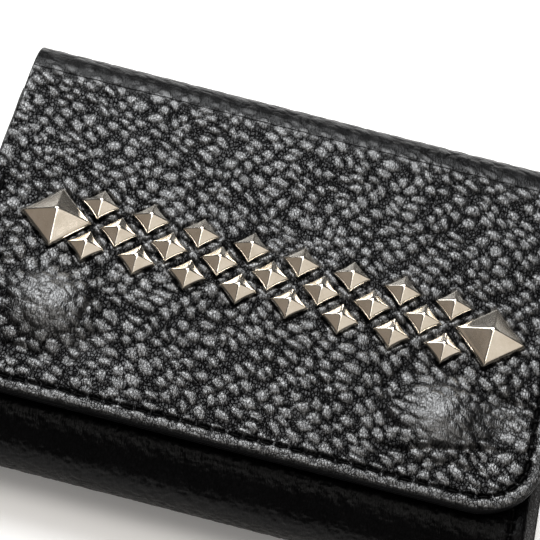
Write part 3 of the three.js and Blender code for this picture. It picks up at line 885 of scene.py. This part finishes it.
def stud_pieces():
    """Each stud sits in its dent in the leather, a little tilted, and the small ones a little turned."""
    rng = np.random.default_rng(71)
    for name in LARGE + SMALL:
        low, high = box_mm(name)
        x, y, turn, half = stud_seat(name)
        form = stud_form(name)
        top = pyramid(half, form["height"] * (high[2] - low[2]) - form["lip"], form)
        bottom = top.copy()
        bottom[..., 2] = -STUD_FOOT
        if name in SMALL:
            turn += rng.normal(0, 0.025)
        tilt = rng.normal(0, form["tilt"], 2)
        seat = flap_body(np.array([x]), np.array([y]))[0] - form["sink"] + rng.normal(0, 0.03)
        place = (
            Matrix.Translation((x, y, THICK + seat))
            @ Matrix.Rotation(tilt[0], 4, "X")
            @ Matrix.Rotation(tilt[1], 4, "Y")
            @ Matrix.Rotation(turn, 4, "Z")
        )
        matrix = np.array(place)
        top, bottom = (p @ matrix[:3, :3].T + matrix[:3, 3] for p in (top, bottom))
        shown = name.replace("stud", "pyramid_stud")
        piece = slab(shown, top, bottom, top[..., :2], [NICKEL, NICKEL, NICKEL], rings=2)
        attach(piece, "flap")
        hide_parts(name)


# ---- top fold ------------------------------------------------------
def fold_middle(v):
    """The middle of the hide's width at v, in metres."""
    v = np.array([np.clip(v, V_FOLD + HAIR, V_BACK - HAIR)])
    return tuple(hide_point(np.zeros(1), v, np.zeros(1))[0] * MM)


def fold_pieces():
    """The fold as four eighths of a turn."""
    columns = spaced(-FLAP_HALF, FLAP_HALF, SKIN_STEP, 4)
    for k in range(4):
        v0 = V_FOLD + k * math.pi / 4 * FOLD_R
        v1 = V_FOLD + (k + 1) * math.pi / 4 * FOLD_R
        u, v = np.meshgrid(columns, spaced(v0, v1, SKIN_STEP, 4))
        v_in = np.clip(v, V_FOLD + HAIR, V_BACK - HAIR)
        depth = FLAP_HALF - np.abs(u)
        calm = 1 - EDGE_CALM * (1 - ramp(depth, 0.1, 0.8))
        height, marks = grain(u, v)
        top = hide_point(u, v_in, height * calm - edge_roll(depth, v_in))
        bottom = hide_point(u, v_in, np.full(u.shape, -FOLD_LEATHER + 0.02))
        piece = slab(f"fold_leather_{k + 1}", top, bottom, np.stack([u, v], -1), [HIDE, EDGE, LINING],
                     swell=0.16, rings=4, joined=("first", "last"), coarse=4, marks=marks)
        if k < 3:
            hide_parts(f"fold_strip_{3 - k}")
        fold_middle(v0)
        fold_middle(v1)
        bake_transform(piece)


# ---- body ----------------------------------------------------------
def cover_skin():
    """Back panel, bottom fold and front panel in one piece of hide."""
    rows = np.concatenate([
        spaced(V_BACK + HAIR, V_BOTTOM - 6, 0.5, 2)[:-1],
        spaced(V_BOTTOM - 6, V_FRONT + 12, 0.33, 2)[:-1],
        spaced(V_FRONT + 12, V_MOUTH, 0.5, 2),
    ])
    across, v = np.meshgrid(spaced(-1, 1, 0.0062, 2), rows)
    u = across * cover_half(v)
    height, marks = hide_relief(u, v)
    top = hide_point(u, v, height)
    bottom = hide_point(u, v, np.full(u.shape, -COVER_LEATHER))
    piece = slab("cover_skin", top, bottom, np.stack([u, v], -1), [HIDE, EDGE, LINING],
                 swell=0.14, rings=3, joined=("first",), coarse=2, marks=marks)
    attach(piece, "body")
    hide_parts("cover_leather")


def cover_stitches():
    spots = []
    for side in (-1, 1):
        first = int(math.ceil((V_BACK + 3) / STITCH_PITCH))
        last = int(math.floor((V_MOUTH - 2) / STITCH_PITCH))
        for k in range(first, last):
            v = np.array([(k + 0.5) * STITCH_PITCH])
            u = side * (cover_half(v) - STITCH_INSET)
            sag = 0.25 * ramp(v, V_FRONT, V_FRONT + 5)
            here, above = hide_point(u, v, -0.32 - sag), hide_point(u, v, 0.68 - sag)
            ahead = hide_point(u, v + 0.1, -0.32 - sag)
            along = (ahead - here)[0]
            spots.append((here[0], along / np.linalg.norm(along), (above - here)[0]))
    piece = stitch_run("cover_stitching", spots)
    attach(piece, "body")


def path_length(path):
    """The length along a path up to each of its points."""
    return np.concatenate([[0], np.cumsum(np.linalg.norm(np.diff(path, axis=0), axis=1))])


def band_path(radius, centre, upper_end, lower_end):
    """(y, z) along a U: from the mouth along the front, round the bottom and back along the back panel."""
    cy, cz = centre
    upper = [(y, cz + radius) for y in spaced(cy, upper_end, 1.5)[::-1][:-1]]
    turn = [(cy - radius * math.sin(t), cz + radius * math.cos(t)) for t in np.linspace(0, math.pi, 17)]
    lower = [(y, cz - radius) for y in spaced(cy, lower_end, 1.5)[1:]]
    return np.array(upper + turn + lower)


def widened(column, count):
    """A column of values repeated count times, side by side."""
    return np.repeat(column[:, None], count, axis=1)


def gusset_pieces():
    """Each side is a folded stack: U-shaped leather bands with painted edges, one inside the other."""
    z0, z1 = GUSSET_LOW[2], GUSSET_HIGH[2]
    full = (z1 - z0) / 2
    centre = (GUSSET_LOW[1] + full, (z0 + z1) / 2)
    proud = [0.0, -0.35, -0.1, -0.5]  # how far each band's edge stands out, from the outer band inwards
    pitch = (full - 0.45) / len(proud)
    gap = 0.3
    tab_y = box_mm("chain_tab")[0][1] - 0.3
    columns = 9
    t = np.linspace(0, 1, columns)
    for side, label in ((-1, "left"), (1, "right")):
        low, high = box_mm(f"gusset_{label}")
        inner_x, outer_x = (low[0], high[0]) if side > 0 else (-high[0], -low[0])
        for k, stand_out in enumerate(proud):
            outer_r = full - k * pitch
            lower_end = tab_y if side > 0 and k < 2 else MOUTH_Y
            outer = band_path(outer_r, centre, MOUTH_Y, lower_end)
            inner = band_path(outer_r - pitch + gap, centre, MOUTH_Y, lower_end)
            reach = side * (inner_x + (outer_x + stand_out - inner_x) * t)
            wave = 0.12 * SWELL.smooth(outer[:, :1] / 9 + k * 3.1, np.full((len(outer), 1), side * 2.3))
            x = reach + side * wave * t
            top = np.stack([x, widened(outer[:, 0], columns), widened(outer[:, 1], columns)], -1)
            bottom = np.stack([x, widened(inner[:, 0], columns), widened(inner[:, 1], columns)], -1)
            run = path_length(outer)
            uv = np.stack([x, widened(run, columns)], -1)
            piece = slab(f"gusset_{label}_band_{k + 1}", top, bottom, uv, [INNER, EDGE, INNER],
                         swell=0.3, rings=4)
            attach(piece, "body")
            if k == 0:
                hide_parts(f"gusset_{label}")


def panel(node, name, material, wave=0.05, stitched=True):
    """A flat inner layer: rolled top edge with a creased line and a row of stitches below it."""
    low, high = box_mm(node)
    x, y = np.meshgrid(spaced(low[0], high[0], 1.0), spaced(low[1], high[1], 0.8))
    edge = np.minimum(high[1] - y, np.minimum(x - low[0], high[0] - x))
    roll = 0.22 * fringe(edge, 0.8)
    line = 0.1 * hill(high[1] - y - 1.6, 0.45)
    ripple = wave * SWELL.smooth(x / 21 + high[2], y / 19)
    top = np.stack([x, y, high[2] - roll - line + ripple], -1)
    bottom = np.stack([x, y, low[2] + roll + ripple], -1)
    piece = slab(name, top, bottom, np.stack([x, y], -1), [material, EDGE, material], swell=0.08)
    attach(piece, "body")
    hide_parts(node)
    if stitched:
        spots = []
        for sx in np.arange(low[0] + 3, high[0] - 3, STITCH_PITCH):
            spots.append(((sx, high[1] - 2.6, high[2]), (1, 0, 0), (0, 0, 1)))
        run = stitch_run(f"{name}_stitching", spots, radius=0.18, sink=0.35, length=2.1)
        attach(run, "body")


def inner_panels():
    panel("back_lining", "back_lining_sheet", LINING, 0.02, False)
    panel("bill_divider", "bill_divider_sheet", INNER, 0.05, True)
    for k in (1, 2, 3):
        panel(f"card_panel_{k}", f"card_pocket_{k}", INNER, 0.04, True)
    panel("coin_pocket_back", "coin_pocket_back_sheet", INNER, 0.03, False)
    panel("coin_pocket_front", "front_lining_sheet", LINING, 0.02, False)


# ---- zip, snaps and chain tab --------------------------------------
def zip_teeth():
    """Pressed metal teeth, meshed in pairs along the closed chain."""
    low, high = box_mm("zip_chain")
    middle = (low + high) / 2
    size = high - low
    pitch = 1.25
    points, faces = [], []
    for k, x in enumerate(np.arange(low[0] + 0.6, high[0] - 0.5, pitch / 2)):
        side = 1 if k % 2 else -1
        z_near, z_far = middle[2] - side * 0.25, middle[2] + side * size[2] / 2
        start = len(points)
        for z, wide, tall in ((z_near, 0.26, 0.62), (middle[2] + side * 0.2, 0.42, 0.98), (z_far, 0.4, 0.9)):
            w, t = wide * 0.62, tall * size[1] / 2
            points += [(x - w, middle[1] - t, z), (x + w, middle[1] - t, z),
                       (x + w, middle[1] + t, z), (x - w, middle[1] + t, z)]
        tooth = [[i, (i + 1) % 4, (i + 1) % 4 + 4, i + 4] for i in range(4)]
        tooth += [[corner + 4 for corner in face] for face in tooth]
        tooth += [[3, 2, 1, 0], [8, 9, 10, 11]]
        faces += [[start + corner for corner in face][::side] for face in tooth]
    mesh = bpy.data.meshes.new("zip_teeth")
    mesh.from_pydata((np.array(points) * MM).tolist(), [], faces)
    mesh.materials.append(STEEL)
    piece = add_object("zip_teeth", mesh)
    soften = piece.modifiers.new("soften", "BEVEL")
    soften.width = 0.06 * MM
    soften.segments = 2
    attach(piece, "body")
    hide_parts("zip_chain")


def finish_cad_nodes():
    """CAD nodes that keep their own shape get their finish, soft edges and smooth shading."""
    keep = {
        "snap_": STEEL, "zip_stop": STEEL, "zip_slider": STEEL, "zip_puller": STEEL,
        "zip_tape": TAPE, "tab_rivet": NICKEL, "d_ring": NICKEL,
    }
    for name, piece in frame["nodes"].items():
        for start, material in keep.items():
            if name.startswith(start):
                piece.data.materials.clear()
                piece.data.materials.append(material)
                for polygon in piece.data.polygons:
                    polygon.use_smooth = True
                if name != "d_ring" and not name.startswith("zip_tape"):
                    weld = piece.modifiers.new("weld", "WELD")
                    weld.merge_threshold = 0.002 * MM
                    soften = piece.modifiers.new("soften", "BEVEL")
                    soften.width = 0.09 * MM
                    soften.segments = 3
                    soften.limit_method = "ANGLE"
                    soften.angle_limit = math.radians(35)
                    soften.harden_normals = True


def chain_tab():
    """A strap of hide folded round the ring's bar, edge painted."""
    low, high = box_mm("chain_tab")
    bar = np.array(JOINT["ring_swing"]["pos_m"]) / MM
    outer_r = high[0] - bar[0]
    thick = 1.4
    inner_r = outer_r - thick
    neck = bar[0] - outer_r - 1.2
    slit = 0.05

    def path(radius, flat):
        legs = spaced(low[0], neck, 1.0)
        spread = math.radians(115)
        leg = [(x, flat) for x in legs]
        loop = [(bar[0] + radius * math.cos(t), bar[2] + radius * math.sin(t))
                for t in np.linspace(-spread, spread, 33)]
        back = [(x, 2 * bar[2] - flat) for x in legs[::-1]]
        return np.array(leg + loop + back)

    outer = path(outer_r, bar[2] - slit - thick)
    inner = path(inner_r, bar[2] - slit)
    ys = spaced(low[1], high[1], 0.5)
    y, s = np.meshgrid(ys, path_length(outer))
    edge = np.minimum(y - low[1], high[1] - y)
    pressed = 0.06 * (1 - fine_wrinkles(y + 40, s)) + 0.28 * fringe(edge, 0.8)
    away = outer - inner
    away = away / np.linalg.norm(away, axis=1, keepdims=True)
    top = np.stack([outer[:, :1] - away[:, :1] * pressed, y, outer[:, 1:] - away[:, 1:] * pressed], -1)
    bottom = np.stack([widened(inner[:, 0], len(ys)), y, widened(inner[:, 1], len(ys))], -1)
    piece = slab("chain_tab_strap", top, bottom, np.stack([y, s], -1), [HIDE, EDGE, INNER], swell=0.12)
    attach(piece, "body")
    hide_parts("chain_tab")


# ---- stage, light and camera ---------------------------------------
def floor():
    n = Nodes("white_table", Roughness=0.6)
    n.shader.inputs["Emission Color"].default_value = (1.0, 0.98, 0.96, 1)
    n.shader.inputs["Emission Strength"].default_value = 0.15
    mottle = n.noise(n.object_place(), 0.004, 2.0)
    n.link(n.ramp(mottle, [(0.0, (0.90, 0.895, 0.89)), (1.0, (0.93, 0.925, 0.92))]), "Base Color")
    half, below = 3.0, -0.0002
    corners = [(-half, -half, below), (half, -half, below), (half, half, below), (-half, half, below)]
    mesh = bpy.data.meshes.new("table")
    mesh.from_pydata(corners, [], [(0, 1, 2, 3)])
    mesh.materials.append(n.material)
    table = add_object("table", mesh)


def area_light(name, place, aim, size, power, colour, spread=180):
    data = bpy.data.lights.new(name, "AREA")
    data.spread = math.radians(spread)
    data.shape = "RECTANGLE"
    data.size, data.size_y = size
    data.energy = power
    data.color = colour
    lamp = add_object(name, data)
    lamp.location = place
    lamp.rotation_euler = (Vector(aim) - Vector(place)).to_track_quat("-Z", "Y").to_euler()


def lights():
    area_light("softbox_behind", (-0.16, 0.57, 0.62), (0, 0.01, 0.02), (0.64, 0.60), 2.9,
               (0.97, 0.985, 1.0), 80)
    area_light("fill_above", (0.05, 0.08, 1.0), (0, 0, 0), (1.0, 0.40), 2.0, (1.0, 0.97, 0.93), 110)
    area_light("fill_front", (0, -0.75, 0.55), (0, 0, 0.02), (1.2, 0.5), 0.4, (1.0, 0.97, 0.93))
    area_light("reflector_right", (0.74, -0.15, 0.70), (0, 0, 0.02), (0.90, 0.70), 1.4, (1.0, 0.93, 0.84))
    area_light("reflector_left", (-0.74, -0.22, 0.66), (0, 0, 0.02), (0.70, 0.55), 0.26, (1.0, 0.84, 0.70))
    world = bpy.data.worlds.new("studio")
    world.use_nodes = True
    background = world.node_tree.nodes["Background"]
    background.inputs["Color"].default_value = (0.95, 0.92, 0.88, 1)
    background.inputs["Strength"].default_value = 0.05
    SCENE.world = world
    SCENE.view_settings.view_transform = "Standard"


def camera():
    """A long lens, high in front of the wallet, turned so that the fold runs down to the right."""
    azimuth, elevation, roll = (math.radians(a) for a in (2.82, 55.17, 11.95))
    distance = 0.4073
    target = Vector((-0.00032, 0.00127, THICK * MM))
    forward = Vector((
        -math.sin(azimuth) * math.cos(elevation),
        math.cos(azimuth) * math.cos(elevation),
        -math.sin(elevation),
    ))
    level = Vector((math.cos(azimuth), math.sin(azimuth), 0))
    upward = level.cross(forward)
    right = math.cos(roll) * level + math.sin(roll) * upward
    up = -math.sin(roll) * level + math.cos(roll) * upward
    data = bpy.data.cameras.new("camera")
    data.sensor_width = 36.0
    data.lens = 134.9
    data.clip_start, data.clip_end = 0.01, 20
    view = add_object("camera", data)
    turn = Matrix((right, up, -forward)).transposed()
    view.matrix_world = Matrix.Translation(target - forward * distance) @ turn.to_4x4()
    SCENE.camera = view


camera()
lights()
floor()
flap_skin()
lining_sheet()
flap_stitches()
stud_pieces()
fold_pieces()
cover_skin()
cover_stitches()
gusset_pieces()
inner_panels()
zip_teeth()
finish_cad_nodes()
chain_tab()
